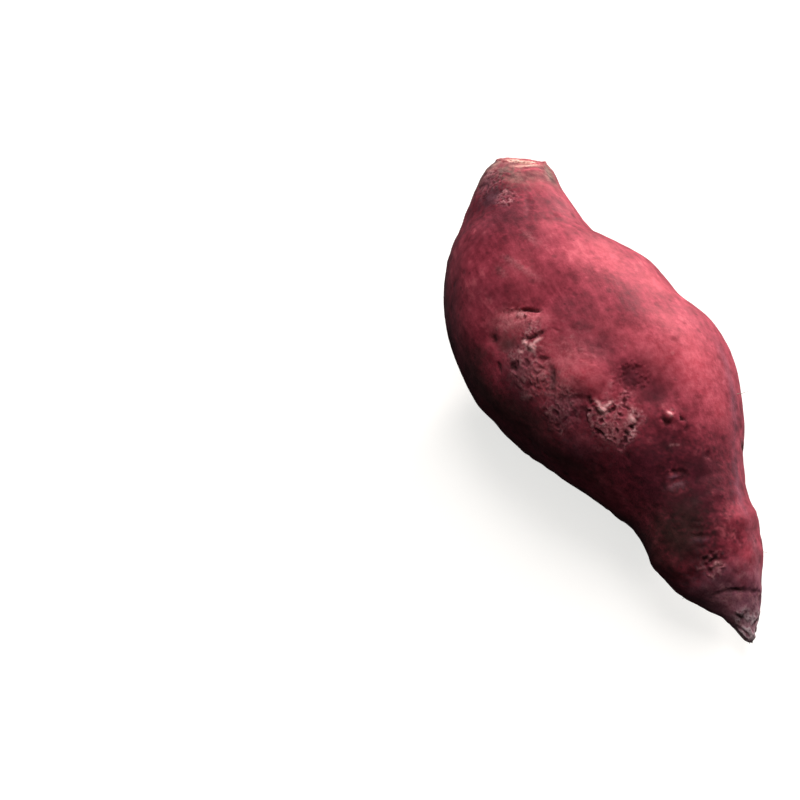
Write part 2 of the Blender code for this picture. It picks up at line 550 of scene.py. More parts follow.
    def lenticels(self, tree: NodeTree, under: NodeSocket) -> NodeSocket:
        """Adds breathing pores: specks about half a millimetre wide, some dark and some pale.

        Args:
            tree: the material's node tree.
            under: the colour below them.

        Returns:
            The colour with them.
        """
        cells = self.pores(tree).outputs
        chance = add_node(tree, "SeparateColor", links={"Color": cells["Color"]}).outputs
        smallest, largest = self.lenticel_sizes
        sizes = {"From Min": self.lenticel_small, "To Min": smallest, "To Max": largest}
        size = add_node(tree, "MapRange", links={"Value": chance["Green"]} | sizes)
        inputs = {0: cells["Distance"], 1: size.outputs["Result"]}
        apart = add_node(tree, "Math", {"operation": "DIVIDE"}, inputs)
        reach = self.lenticel_radius
        shares = {"From Min": reach, "From Max": reach * self.lenticel_fade}
        shares |= {"To Min": self.lenticel_strength, "To Max": 0.0}
        inside = add_node(tree, "MapRange", links={"Value": apart.outputs["Value"]} | shares)
        inputs = {0: chance["Red"], 1: self.lenticel_pale_from}
        pale = add_node(tree, "Math", {"operation": "GREATER_THAN"}, inputs).outputs["Value"]
        inputs = {0: pale, 6: linear(self.lenticel_dark), 7: linear(self.lenticel_pale)}
        speck = add_node(tree, "Mix", {"data_type": "RGBA"}, inputs).outputs[2]
        inputs = {0: inside.outputs["Result"], 6: under, 7: speck}
        return add_node(tree, "Mix", {"data_type": "RGBA"}, inputs).outputs[2]

    def lay(self, tree: NodeTree, layer: Layer, pattern: NodeSocket, under: NodeSocket) -> NodeSocket:
        """Lays a colouring over the colour below.

        Args:
            tree: the material's node tree.
            layer: the colouring.
            pattern: what varies its colour.
            under: the colour below it.

        Returns:
            The colour with it.
        """
        mark = add_node(tree, "Attribute", {"attribute_name": layer.mark.value}).outputs["Fac"]
        clamped = {"operation": "MULTIPLY", "use_clamp": True}
        amount = add_node(tree, "Math", clamped, {0: mark, 1: layer.strength}).outputs["Value"]
        low, high = self.layer_range
        spread = add_node(tree, "MapRange", links={"Value": pattern, "From Min": low, "From Max": high})
        inputs = {0: spread.outputs["Result"], 6: linear(layer.low), 7: linear(layer.high)}
        own = add_node(tree, "Mix", {"data_type": "RGBA"}, inputs).outputs[2]
        return add_node(tree, "Mix", {"data_type": "RGBA"}, {0: amount, 6: under, 7: own}).outputs[2]

    def rough(self, tree: NodeTree, patterns: dict[Pattern, NodeSocket]) -> NodeSocket:
        """Adds the roughness: waxy skin, dull scabs, cork and earth, and shiny chips.

        Args:
            tree: the material's node tree.
            patterns: the noises that it follows.

        Returns:
            The roughness's socket.
        """
        lowest = self.roughness - self.roughness_spread / 2
        inputs = {0: patterns[Pattern.MOTTLE], 1: self.roughness_spread, 2: lowest}
        value = add_node(tree, "Math", {"operation": "MULTIPLY_ADD"}, inputs).outputs["Value"]
        clamped = {"operation": "MULTIPLY_ADD", "use_clamp": True}
        for mark, change in self.roughness_changes:
            source = add_node(tree, "Attribute", {"attribute_name": mark.value}).outputs["Fac"]
            value = add_node(tree, "Math", clamped, {0: source, 1: change, 2: value}).outputs["Value"]
        return value

    def bump(self, tree: NodeTree, patterns: dict[Pattern, NodeSocket]) -> NodeSocket:
        """Adds the finest unevenness of the skin.

        Args:
            tree: the material's node tree.
            patterns: the noises that it follows.

        Returns:
            The normal's socket.
        """
        strength, height = self.grain_bump
        links = {"Height": patterns[Pattern.GRAIN], "Strength": strength, "Distance": height * MM}
        fine = add_node(tree, "Bump", links=links).outputs["Normal"]
        strength, height = self.streak_bump
        links = {"Height": self.streaks(tree), "Strength": strength, "Distance": height * MM}
        return add_node(tree, "Bump", links=links | {"Normal": fine}).outputs["Normal"]


@dataclass(frozen=True)
class Stroke:
    """A groove, a rim or a flake along a line that the photograph shows."""

    path: tuple[Pixel, ...]
    half_width: float  # millimetres
    lift: float  # millimetres, below 0 for a groove
    marks: dict[Mark, float]


@dataclass(frozen=True)
class Patch:
    """A round area of skin that the photograph shows, with a soft edge."""

    middle: Pixel
    reach: float  # millimetres
    lift: float
    marks: dict[Mark, float]


@dataclass(frozen=True)
class ScabPatch:
    """Skin that healed as a net of pale ridges round dark pits."""

    middle: Pixel
    reach: float  # millimetres
    step: float  # millimetres from a ridge to the pit beside it
    height: float
    strength: float = 1.0  # how much it differs from the skin in colour
    box: float = 1.4  # times its reach, within which it is drawn
    whole: float = 0.6  # share of its reach that is scabbed all over
    ragged: float = 0.45  # share by which its edge wanders
    ragged_step: float = 0.4  # share of its reach from one bend of the edge to the next
    wave_shift: float = 7.7
    fine_share: float = 0.35  # of a second wave, half as wide
    fine_shift: float = 3.1
    ridge_shift: float = 0.12
    ridge: Range = (0.08, 0.42)  # of the wave, from a ridge's top to its foot
    pit: Range = (0.2, 0.48)  # of the wave, from a pit's edge to its bottom
    tone_step: float = 2.8  # millimetres, from paler and higher ridges to others
    tone_shift: float = 5.3
    tone_middle: float = 0.72
    tone_spread: float = 0.9
    ridge_height: float = 0.9
    ash: float = 0.25
    scab: float = 0.9
    # soil and painted shade in the pits
    earth: float = 0.7
    # the palest ridges painted near white as glints
    chip: float = 0.3
    chip_from: Range = (0.85, 1.0)  # of a ridge's tone


def by_mark(marks: dict[str, float]) -> dict[Mark, float]:
    """Turns marks given by name into marks."""
    return {Mark(name): amount for name, amount in marks.items()}


def stroke(path: tuple[Pixel, ...], half_width: float, lift: float, **marks: float) -> Stroke:
    """Makes a stroke, with its marks given by name."""
    return Stroke(path, half_width, lift, by_mark(marks))


def patch(x: float, y: float, reach: float, lift: float = 0.0, **marks: float) -> Patch:
    """Makes a patch, with its marks given by name."""
    return Patch((x, y), reach, lift, by_mark(marks))


STROKES = (
    # the large eye: the lid above its upper slit, that slit, the lid below and the lower slit; the
    # slits and the pit beside them hold soil and painted shade, and the pink fold below the upper slit
    # has a painted highlight
    stroke(((492, 306), (516, 303), (543, 306)), 2.2, 0.5),
    stroke(((490, 319), (518, 316), (545, 318)), 1.9, 0.7, flush=0.6, rub=0.3),
    stroke(((494, 328), (518, 327), (541, 323)), 2.4, 0.8, rub=0.35),
    stroke(((517, 311), (523, 310), (529, 310), (541, 312)), 0.6, -1.3, earth=0.9),
    stroke(((505, 313), (517, 311)), 0.5, -0.3, earth=0.25),
    stroke(((500, 319), (518, 317), (538, 319)), 1.5, 0.2, rub=0.4),
    stroke(((497, 326), (515, 325), (535, 326)), 1.2, 0.2, rub=0.35),
    stroke(((519, 341), (530, 338), (537, 335), (544, 332)), 0.6, -1.1, earth=0.9),
    stroke(((544, 331), (553, 328), (561, 332)), 0.4, -0.3, earth=0.3),
    stroke(((493, 333), (493.5, 338), (495, 343)), 1.2, -1.3, earth=0.9),
    stroke(((497, 341), (508, 345), (519, 343)), 2.6, -0.5, stain=0.85),
    # flakes below it, pale peeled skin painted near white as glints
    stroke(((531, 346), (533, 348)), 0.8, 0.35, chip=1.0),
    stroke(((524, 341), (526, 343)), 0.6, 0.3, chip=1.0),
    stroke(((533, 346), (535, 342), (538, 340), (542, 338)), 0.4, 0.25, chip=1.0),
    stroke(((526, 347), (528, 350), (533, 352)), 0.6, -0.5, earth=0.9),
    stroke(((518, 351), (521, 352), (524, 351)), 0.45, 0.2, chip=0.7),
    stroke(((511, 354), (513, 359)), 1.1, 0.2, scab=0.6),
    stroke(((518, 314), (522, 315), (527, 317)), 0.9, 0.1, chip=0.4),
    # cracks and a crease below the eye, darkened with soil and painted shade, and a pink rise beside
    # them lightened with painted light
    stroke(((534, 358), (543, 359), (551, 358)), 0.6, -0.5, earth=0.5),
    stroke(((536, 369), (541, 368), (546, 370)), 0.5, -0.4, earth=0.5),
    stroke(((550, 364), (553, 373), (553, 383), (551, 393)), 1.2, -0.9, dusk=0.9, earth=0.4),
    stroke(((556, 397), (570, 398), (585, 396), (600, 391)), 2.2, -0.7, dusk=0.5),
    stroke(((620, 371), (632, 366), (644, 372)), 1.0, -0.3, earth=0.3),
    stroke(((618, 380), (630, 384), (644, 380)), 0.9, -0.3, earth=0.3),
    stroke(((511, 366), (514, 368)), 0.8, -0.7, earth=0.9),
    stroke(((498, 364), (499, 371)), 0.6, -0.5, earth=0.5),
    stroke(((535, 368), (541, 377), (544, 386)), 2.3, 0.3, flush=0.9, rub=0.5),
    # the scabbed rise: its rim, pits dark with soil and painted shade, and flakes painted near white as
    # glints
    stroke(((588, 399), (590, 403)), 0.7, -0.9, earth=0.9),
    stroke(((595, 400), (598, 403), (601, 406)), 0.5, 0.2, chip=0.7),
    stroke(((600, 409), (604, 410)), 0.85, 0.4, chip=1.0),
    stroke(((604, 408), (608, 405), (612, 402)), 0.45, 0.3, chip=1.0),
    stroke(((594, 408), (599, 414), (603, 415)), 0.6, -0.7, earth=0.9),
    stroke(((607, 413), (612, 409)), 0.5, -0.4, earth=0.5),
    stroke(((631, 418), (633, 420)), 0.7, 0.5, chip=1.0),
    stroke(((628, 406), (633, 409), (639, 413)), 0.8, 0.2, rub=0.5),
    stroke(((637, 423), (633, 426), (629, 427)), 0.5, -0.7, earth=0.9),
    stroke(((624, 431), (626, 433), (629, 436)), 0.5, -0.7, earth=0.9),
    stroke(((597, 430), (600, 432), (604, 434)), 0.4, -0.5, earth=0.5),
    # the knob, pinker with a painted highlight on its top, and the pit beside it, a dark crescent of
    # soil and painted shade
    stroke(((668, 415), (670, 415)), 1.25, 1.0, flush=0.5),
    stroke(((668, 413), (670, 415)), 0.55, 0.3, chip=0.55),
    stroke(((663, 413), (663, 419), (666, 424), (671, 424)), 0.65, -1.0, earth=0.9),
    stroke(((681, 417), (682, 419)), 0.5, -0.4, earth=0.9),
    stroke(((685, 428), (686, 430)), 0.45, -0.3, earth=0.5),
    stroke(((671, 445), (673, 445)), 0.4, 0.1, rub=0.7),
    stroke(((677, 445), (679, 445)), 0.35, 0.1, rub=0.6),
    # small scars on the way to the tail, their grooves and pits darkened with soil and painted shade
    stroke(((703, 453), (707, 455), (711, 457)), 0.8, -0.3, dusk=0.8),
    stroke(((667, 474), (674, 472), (682, 472), (690, 475)), 0.6, -0.5, earth=0.5),
    stroke(((669, 478), (674, 477), (679, 476)), 0.5, 0.3, ash=0.6, flush=0.5),
    stroke(((668, 488), (676, 486), (685, 483)), 0.8, 0.4, ash=0.6, rub=0.25),
    stroke(((664, 478), (663, 486), (665, 491)), 0.5, -0.3, earth=0.5),
    stroke(((664, 491), (676, 492), (690, 490)), 1.0, 0.1, flush=0.9),
    stroke(((694, 521), (703, 522), (711, 520)), 0.6, -0.22, dusk=0.6),
    stroke(((690, 528), (698, 528), (705, 527)), 0.6, -0.18, dusk=0.5),
    stroke(((691, 536), (700, 537), (711, 535)), 0.6, -0.25, dusk=0.6),
    stroke(((692, 540), (702, 541), (711, 539)), 0.6, 0.12, ash=0.35),
    stroke(((695, 546), (701, 547), (707, 545)), 0.6, -0.25, dusk=0.6),
    stroke(((702, 558), (705, 559), (708, 557)), 0.6, -0.6, earth=0.9),
    stroke(((711, 561), (715, 559)), 0.5, -0.5, earth=0.9),
    stroke(((716, 563), (721, 562)), 0.6, 0.3, rub=0.6),
    stroke(((711, 567), (715, 566)), 0.45, 0.3, rub=0.6),
    stroke(((698, 569), (704, 568)), 0.45, 0.2, rub=0.4),
    stroke(((707, 571), (710, 571), (713, 569)), 0.5, -0.5, earth=0.5),
    stroke(((716, 567), (720, 566), (725, 563)), 0.5, -0.5, earth=0.5),
    stroke(((737, 534), (740, 543)), 0.8, -0.2, dusk=0.5),
    # the crease round the tail and the notch near its tip, darkened with soil and painted shade
    stroke(((713, 596), (724, 592), (735, 590), (748, 591), (759, 592)), 0.7, -0.6, earth=0.5),
    stroke(((731, 590), (737, 589), (743, 591)), 0.5, -0.5, earth=0.9),
    stroke(((736, 614), (741, 618), (746, 614)), 0.7, -0.6, earth=0.9),
    # pale streaks below the neck
    stroke(((503, 256), (518, 266), (530, 273), (540, 280)), 1.0, 0.15, rub=0.4),
    stroke(((522, 230), (530, 238), (538, 245)), 0.9, 0.12, rub=0.3),
    stroke(((497, 266), (501, 271), (506, 277)), 1.0, 0.12, rub=0.3),
    # specks and ridges on the neck
    stroke(((500, 190), (501, 192)), 0.4, -0.25, earth=0.5),
    stroke(((507, 189), (508, 191)), 0.35, -0.2, earth=0.5),
    stroke(((512, 195), (513, 197)), 0.35, -0.2, earth=0.5),
    stroke(((503, 198), (504, 200)), 0.35, -0.2, earth=0.5),
    stroke(((508, 204), (509, 206)), 0.4, -0.25, earth=0.5),
    stroke(((506, 175), (509, 176)), 0.6, -0.2, earth=0.5),
    stroke(((504, 193), (505, 194)), 0.4, 0.1, rub=0.7),
    stroke(((509, 199), (510, 200)), 0.4, 0.1, rub=0.6),
    stroke(((490, 171), (494, 169)), 0.5, 0.15, rub=0.6),
    stroke(((485, 178), (488, 176)), 0.45, 0.1, rub=0.5),
    stroke(((527, 190), (529, 205), (528, 222)), 1.0, -0.25, dusk=0.35),
    # the near edge of the snapped face: flesh, the pink line below it and the tan facet beside it
    stroke(((511, 166), (521, 165.5), (532, 165), (542, 164.5)), 0.65, -0.15, flesh=0.9),
    stroke(((516, 171), (528, 170), (543, 170)), 0.5, 0.25, flush=1.0),
    stroke(((543, 164), (544, 168)), 0.6, 0.1, flush=1.0),
    stroke(((545, 163), (549, 173), (555, 185)), 2.3, -0.2, cork=1.0, stain=0.5),
    stroke(((545, 169), (547, 175), (550, 181)), 0.6, 0.0, rub=0.3),
)

STAINS = (
    # a painted sheen: grey-mauve along the far side's rim, from the belly to the tail
    stroke(((716, 338), (727, 366), (733, 396), (735, 440)), 2.0, 0.0, ash=0.55),
    stroke(((735, 440), (736, 473), (742, 503), (750, 530)), 2.0, 0.0, ash=0.5),
    stroke(((750, 530), (757, 552), (757, 576)), 1.8, 0.0, ash=0.45, rub=0.2),
    # painted shade: dark brown over the near flank, from the belly to the tail
    stroke(((461, 347), (478, 382), (501, 411), (528, 434)), 5.0, 0.0, stain=0.9),
    stroke(((515, 419), (552, 452), (580, 470), (612, 493)), 4.5, 0.0, stain=0.7),
    stroke(((530, 410), (552, 425), (575, 440), (600, 462)), 4.5, 0.0, stain=0.35),
    stroke(((505, 403), (525, 416), (547, 428)), 3.5, 0.0, stain=0.7),
    stroke(((630, 520), (650, 545), (668, 570), (690, 588)), 4.0, 0.0, stain=0.7),
    stroke(((650, 515), (670, 535), (690, 560)), 5.0, 0.0, stain=0.9),
    stroke(((675, 500), (690, 520), (700, 545)), 4.0, 0.0, stain=0.65),
)

PATCHES = (
    # painted light on pinker skin, where the light falls on the shoulder and the rises
    patch(655, 283, 8.5, flush=0.8),
    patch(603, 248, 8.0, flush=0.8),
    patch(612, 264, 7.0, flush=0.7),
    patch(665, 318, 7.0, flush=0.5),
    patch(580, 255, 6.0, flush=0.5),
    patch(690, 340, 7.0, flush=0.6),
    patch(694, 365, 11.0, flush=1.0),
    patch(660, 352, 8.0, flush=0.7),
    patch(725, 370, 6.0, flush=0.5),
    patch(720, 410, 6.0, flush=0.6),
    patch(583, 373, 6.0, 0.9, flush=0.9),
    patch(563, 376, 9.0, 0.5, flush=0.95),
    patch(592, 386, 6.0, flush=0.7),
    patch(520, 328, 8.0, flush=0.7),
    patch(545, 350, 7.0, flush=0.5),
    patch(635, 335, 6.0, flush=0.4),
    patch(615, 412, 8.0, flush=0.8),
    patch(543, 382, 7.5, flush=0.95),
    patch(605, 328, 6.0, flush=0.35),
    patch(542, 185, 6.0, flush=0.5),
    patch(520, 265, 7.0, flush=0.35),
    patch(545, 225, 6.0, flush=0.3),
    patch(745, 520, 5.0, flush=0.5),
    patch(748, 565, 6.0, flush=0.6),
    # wine-red skin and painted shade below the shoulder, where it turns from the light
    patch(566, 303, 6.0, dusk=0.35),
    patch(592, 310, 7.0, dusk=0.15),
    patch(628, 303, 5.5, dusk=0.35),
    patch(577, 330, 6.0, dusk=0.3),
    patch(568, 208, 7.0, dusk=0.4),
    # deep purple skin and painted shade, towards the tail, along the near side, in hollows and on the
    # neck's near side
    patch(631, 377, 5.5, -0.9, dusk=0.85),
    patch(655, 394, 6.5, -0.4, dusk=0.75),
    patch(600, 347, 6.0, -0.3, dusk=0.5),
    patch(582, 412, 6.0, -0.4, dusk=0.5),
    patch(620, 460, 8.0, dusk=0.5),
    patch(645, 460, 10.0, dusk=0.85),
    patch(668, 442, 8.0, dusk=0.7),
    patch(655, 490, 12.0, dusk=0.9),
    patch(700, 470, 13.0, dusk=0.9),
    patch(730, 490, 8.0, dusk=0.5),
    patch(685, 510, 12.0, dusk=0.95),
    patch(690, 545, 10.0, dusk=0.85),
    patch(560, 460, 9.0, dusk=0.6),
    patch(520, 400, 9.0, dusk=0.6),
    patch(497, 297, 6.0, dusk=0.35),
    patch(480, 237, 7.0, dusk=0.35),
    patch(540, 237, 7.0, dusk=0.3),
    patch(510, 262, 6.0, dusk=0.25),
    patch(478, 292, 6.0, dusk=0.35),
    patch(705, 505, 9.0, dusk=0.6),
    patch(700, 470, 8.0, dusk=0.5),
    patch(505, 215, 11.0, dusk=0.7),
    patch(485, 200, 8.0, dusk=0.6),
    patch(548, 200, 7.0, dusk=0.35),
    patch(480, 356, 4.5, dusk=0.4, stain=0.5),
    patch(556, 414, 7.0, dusk=0.55),
    patch(722, 448, 6.0, dusk=0.4),
    patch(708, 535, 9.0, dusk=0.45),
    patch(715, 572, 7.0, dusk=0.45),
    # dry skin and cork round the neck's rim, with painted shade on its near side
    patch(487, 182, 6.0, ash=0.5, stain=0.65),
    patch(493, 198, 5.0, ash=0.5, stain=0.5),
    patch(503, 170, 4.5, cork=0.85, earth=0.3),
    patch(516, 177, 5.0, cork=0.55, stain=0.4, earth=0.15),
    patch(535, 176, 5.0, cork=0.35),
    # dry grey-mauve skin towards the tail, and paler grey patches in the shade that are painted light
    patch(520, 365, 8.0, ash=0.35, rub=0.25),
    patch(563, 410, 7.0, ash=0.3),
    patch(568, 356, 8.0, rub=0.25),
    patch(560, 384, 7.0, rub=0.35),
    patch(580, 448, 7.0, ash=0.3),
    patch(612, 434, 5.0, rub=0.4),
    patch(700, 598, 8.0, ash=0.6),
    patch(722, 602, 8.0, ash=0.6, rub=0.3),
)

SCAB_PATCHES = (
    ScabPatch((615, 421), 8.8, 1.7, 0.34),
    ScabPatch((530, 370), 9.0, 2.2, 0.20, 0.42),
    ScabPatch((560, 411), 7.5, 1.9, 0.18, 0.35),
    ScabPatch((533, 331), 3.2, 1.2, 0.12, 0.7),
    ScabPatch((714, 563), 4.4, 1.8, 0.22, 0.4),
    ScabPatch((488, 184), 6.5, 1.5, 0.20, 0.3),
    ScabPatch((506, 197), 4.2, 1.1, 0.12, 0.5),
)


def along_line(points: Floats, line: Floats) -> tuple[Floats, Floats]:
    """Finds where each point lies beside a line.

    Args:
        points: places in millimetres.
        line: the line's points in millimetres.

    Returns:
        Each place's distance from the line, and the share of the line's length it is beside.
    """
    runs = line[1:] - line[:-1]
    lengths = np.linalg.norm(runs, axis=1)
    total = max(lengths.sum(), TINY)
    away = np.full(len(points), np.inf)
    share = np.zeros(len(points))
    done = 0.0
    for start, run, length in zip(line[:-1], runs, lengths):
        part = np.clip((points - start) @ run / max(run @ run, TINY), 0, 1)
        gap = np.linalg.norm(points - start - part[:, None] * run, axis=1)
        nearer = gap < away
        away[nearer] = gap[nearer]
        share[nearer] = (done + part[nearer] * length) / total
        done += length
    return away, share


@dataclass
class Surface:
    """The smooth skin before it is marked, for finding places on it."""

    mesh: Mesh
    camera: PhotoCamera
    tree: BVHTree = field(init=False)
    points: Floats = field(init=False)

    def __post_init__(self) -> None:
        """Makes the tree that rays are cast at, and keeps its points in millimetres."""
        corners = [vertex.co for vertex in self.mesh.vertices]
        faces = [polygon.vertices[:] for polygon in self.mesh.polygons]
        self.tree = BVHTree.FromPolygons(corners, faces)
        self.points = np.array(corners) / MM

    def seen(self, pixel: Pixel) -> Floats:
        """The point of the skin that a pixel of the photograph shows, in millimetres."""
        hit = self.tree.ray_cast(self.camera.eye, self.camera.ray(pixel))[0]
        if hit is None:
            raise ValueError(f"no skin at pixel {pixel}")
        return np.array(hit) / MM

    def placed(self, x: float, clock: float) -> tuple[Vector, Vector]:
        """Finds a place by its distance along the root and its angle round it.

        Args:
            x: millimetres along the root.
            clock: degrees round it, 0 at +Y and 90 on top.

        Returns:
            The point in metres and the outward direction there.
        """
        near = self.points[np.abs(self.points[:, 0] - x) < 1.5]
        low, high = near.min(axis=0), near.max(axis=0)
        middle = Vector((x, (low[1] + high[1]) / 2, (low[2] + high[2]) / 2)) * MM
        angle = math.radians(clock)
        out = Vector((0.0, math.cos(angle), math.sin(angle)))
        far = middle + out
        hit = self.tree.ray_cast(far, -out)
        return hit[0], hit[1]

    def snapped(self, point: Vector) -> Vector:
        """The nearest point of the skin."""
        return self.tree.find_nearest(point)[0]


class Shaping:
    """The skin while it is shaped: its points, how far each is lifted and what marks it."""

    drawn_reach = 3.0  # half widths from a line within which it is drawn
    line_ends = (0.03, 0.97)  # of a line's length, so that it doesn't fade to nothing
    lift_middle = 0.85  # how much of a lift shows, and how much that varies
    lift_spread = 0.5
    lift_step = 2.1  # millimetres
    lift_shift = 3.0

    def __init__(self, mesh: Mesh) -> None:
        """Reads the smooth skin's points and outward directions.

        Args:
            mesh: the smooth skin.
        """
        count = len(mesh.vertices)
        self.mesh = mesh
        self.points: Floats = np.empty(count * 3)
        mesh.vertices.foreach_get("co", self.points)
        self.points = self.points.reshape(-1, 3) / MM
        self.outward: Floats = np.empty(count * 3)
        mesh.vertices.foreach_get("normal", self.outward)
        self.outward = self.outward.reshape(-1, 3)
        self.lift: Floats = np.zeros(count)
        self.marks: dict[Mark, Floats] = {mark: np.zeros(count) for mark in Mark}

    def near(self, line: Floats, reach: float) -> NDArray[np.int64]:
        """The numbers of the points in a box round a line."""
        low, high = line.min(axis=0) - reach, line.max(axis=0) + reach
        inside = ((self.points > low) & (self.points < high)).all(axis=1)
        return np.nonzero(inside)[0]

    def draw(
        self, line: Floats, half_width: float, lift: float, marks: dict[Mark, float]
    ) -> None:
        """Lifts and marks the skin along a line.

        Args:
            line: its points in millimetres.
            half_width: how far from the line it fades to a third.
            lift: how far it stands out, in millimetres.
            marks: what marks it, and how strongly.
        """
        chosen = self.near(line, self.drawn_reach * half_width)
        points = self.points[chosen]
        away, share = along_line(points, line)
        away *= 1 + RAGGED * grain_at(points, RAGGED_SIZE)
        amount = np.exp(-((away / half_width) ** 2))
        if len(line) > 2:
            amount *= np.sqrt(np.sin(math.pi * np.clip(share, *self.line_ends)))
        uneven = self.lift_spread * grain_at(points, self.lift_step, self.lift_shift)
        self.lift[chosen] += lift * amount * (self.lift_middle + uneven)
        for mark, strength in marks.items():
            self.blend(mark, chosen, strength * amount)

    def blend(self, mark: Mark, chosen: NDArray[np.int64] | slice, amount: Floats) -> None:
        """Adds to a mark without passing 1."""
        old = self.marks[mark][chosen]
        self.marks[mark][chosen] = 1 - (1 - old) * (1 - np.clip(amount, 0, 1))

    def scab(self, middle: Floats, patch: ScabPatch) -> None:
        """Roughens a round area into a net of pale ridges round dark pits.

        Args:
            middle: its middle in millimetres.
            patch: its sizes.
        """
        chosen = self.near(middle[None, :], patch.reach * patch.box)
        points = self.points[chosen]
        away = np.linalg.norm(points - middle, axis=1)
        ragged = away * (1 + patch.ragged * grain_at(points, patch.reach * patch.ragged_step))
        inside = 1 - soft_step(patch.reach * patch.whole, patch.reach, ragged)
        fine = patch.fine_share * grain_at(points, patch.step * 0.5, patch.fine_shift)
        wave = grain_at(points, patch.step, patch.wave_shift) + fine
        ridge = 1 - soft_step(*patch.ridge, np.abs(wave + patch.ridge_shift))
        pit = soft_step(*patch.pit, wave)
        spread = patch.tone_spread * grain_at(points, patch.tone_step, patch.tone_shift)
        tone = np.clip(patch.tone_middle + spread, 0, 1)
        self.lift[chosen] += inside * patch.height * (patch.ridge_height * ridge * tone - pit)
        inside *= patch.strength
        self.blend(Mark.ASH, chosen, patch.ash * inside * (1 - ridge))
        self.blend(Mark.SCAB, chosen, patch.scab * inside * ridge * tone)
        self.blend(Mark.EARTH, chosen, patch.earth * inside * pit)
        palest = soft_step(*patch.chip_from, ridge * tone)
        self.blend(Mark.CHIP, chosen, patch.chip * inside * palest)

    def finish(self) -> None:
        """Moves the points out by their lift, none below the ground, and writes the marks."""
        moved = self.points + self.outward * self.lift[:, None]
        moved[:, 2] = np.maximum(moved[:, 2], 0.0)
        self.mesh.vertices.foreach_set("co", (moved * MM).ravel())
        for mark, values in self.marks.items():
            attribute = self.mesh.attributes.new(mark.value, "FLOAT", "POINT")
            attribute.data.foreach_set("value", np.clip(values, 0, 1))
        self.mesh.update()


@dataclass
class RowEyes:
    """Eyes in rows along the sides that the photograph doesn't show, in the solid's own dents."""

    length: float = 155.0  # millimetres
    start: float = -67.0
    clocks: tuple[float, ...] = (8.0, 218.0, 250.0, 296.0, 332.0)  # degrees round the root
    in_row: int = 4
    first: float = 0.15  # shares of the length
    step: float = 0.19
    scatter: float = 0.05
    clock_scatter: float = 7.0
    widths: tuple[float, float] = (8.0, 12.0)  # millimetres
    depths: tuple[float, float] = (0.7, 1.2)
    slit_share: float = 0.36  # of an eye's width, from the slit's middle to its end
    slant: float = 0.4  # how far a slit leans along the root at most
    slant_rate: float = 7.0  # how fast the lean changes with the width
    bow: float = 0.1  # of an eye's width
    lip_width: float = 2.2  # millimetres
    lip_height: float = 0.35  # share of the depth
    slit_width: float = 0.8
    slit_depth: float = 0.7
    seed: int = 7

    def draw(self, shaping: Shaping, surface: Surface) -> None:
        """Draws a slit, dark with soil and painted shade, and a soft lip in each eye.

        Args:
            shaping: the skin that they are drawn on.
            surface: the smooth skin.
        """
        chance = random.Random(self.seed)
        for clock in self.clocks:
            for place in range(self.in_row):
                along = self.first + self.step * place
                along += chance.uniform(-self.scatter, self.scatter)
                at = clock + chance.uniform(-self.clock_scatter, self.clock_scatter)
                width = chance.uniform(*self.widths)
                depth = chance.uniform(*self.depths)
                middle, out = surface.placed(along * self.length + self.start, at)
                across = out.cross(ALONG).normalized()
                slant = ALONG * (self.slant * math.sin(self.slant_rate * width))
                reach = (across + slant).normalized() * self.slit_share * width * MM
                bow = ALONG * self.bow * width * MM
                ends = (-1.0, -0.5, 0.0, 0.5, 1.0)
                line = np.array(
                    [
                        surface.snapped(middle + reach * end + bow * (end * end - 0.5))
                        for end in ends
                    ]
                )
                line /= MM
                lip = {Mark.RUB: 0.2, Mark.SCAB: 0.25}
                shaping.draw(line, self.lip_width, self.lip_height * depth, lip)
                slit = {Mark.EARTH: 0.75}
                shaping.draw(line, self.slit_width, -self.slit_depth * depth, slit)


